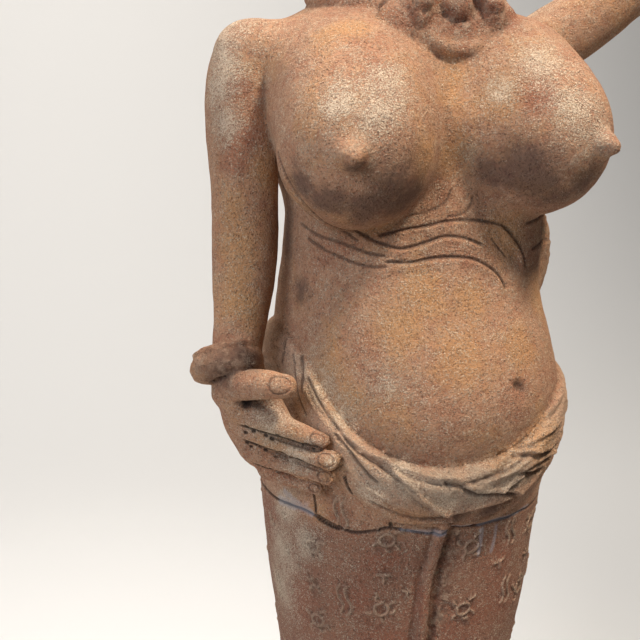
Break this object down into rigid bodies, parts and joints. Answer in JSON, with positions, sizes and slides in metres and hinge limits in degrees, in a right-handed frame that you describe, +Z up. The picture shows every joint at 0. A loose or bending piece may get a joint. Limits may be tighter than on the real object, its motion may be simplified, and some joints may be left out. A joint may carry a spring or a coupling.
{
  "type": "standing handmaiden figure",
  "caption": "Standing woman in fired clay, bare to the waist, patterned skirt with rolled sash, one hand on her hip and the other raised to her hair, on a low base.",
  "frame": {"origin": "centre of the underside of the low base", "axes": "+Z up along the figure, -Y the way the figure faces, +X towards the figure's left hand"},
  "size_m": [0.3465, 0.2239, 0.981],
  "materials": {
    "terracotta": "unglazed, coarse and sandy, orange-brown with grey soot patches and pale grit, matt"
  },
  "bodies": {
    "root": {"handmaiden_figure": "terracotta"}
  },
  "joints": []
}
